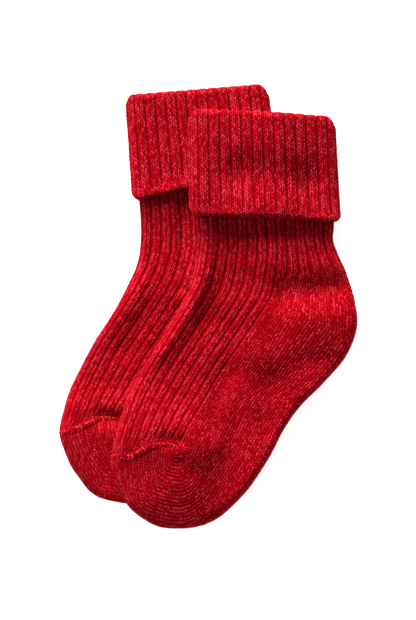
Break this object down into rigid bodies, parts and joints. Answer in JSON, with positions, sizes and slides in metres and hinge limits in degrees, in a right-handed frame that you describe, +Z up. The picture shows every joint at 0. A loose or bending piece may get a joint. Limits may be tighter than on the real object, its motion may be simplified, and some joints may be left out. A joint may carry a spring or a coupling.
{
  "type": "pair of wool socks, laid flat",
  "caption": "Pair of small ribbed wool socks with turned-down cuffs and plain heels and toes, laid flat one over the other.",
  "frame": {"origin": "middle of the pair's outline seen from above, on the surface that it lies on", "axes": "+Z up, +Y from the toes towards the cuffs, +X towards the heels"},
  "size_m": [0.1295, 0.1937, 0.0235],
  "materials": {
    "wool": "matte knitted wool",
    "toe_thread": "matte wool thread"
  },
  "bodies": {
    "root": {"lower_sock": "wool", "lower_cuff": "wool", "lower_toe_seam": "toe_thread", "upper_sock": "wool", "upper_cuff": "wool", "upper_toe_seam": "toe_thread"}
  },
  "joints": []
}
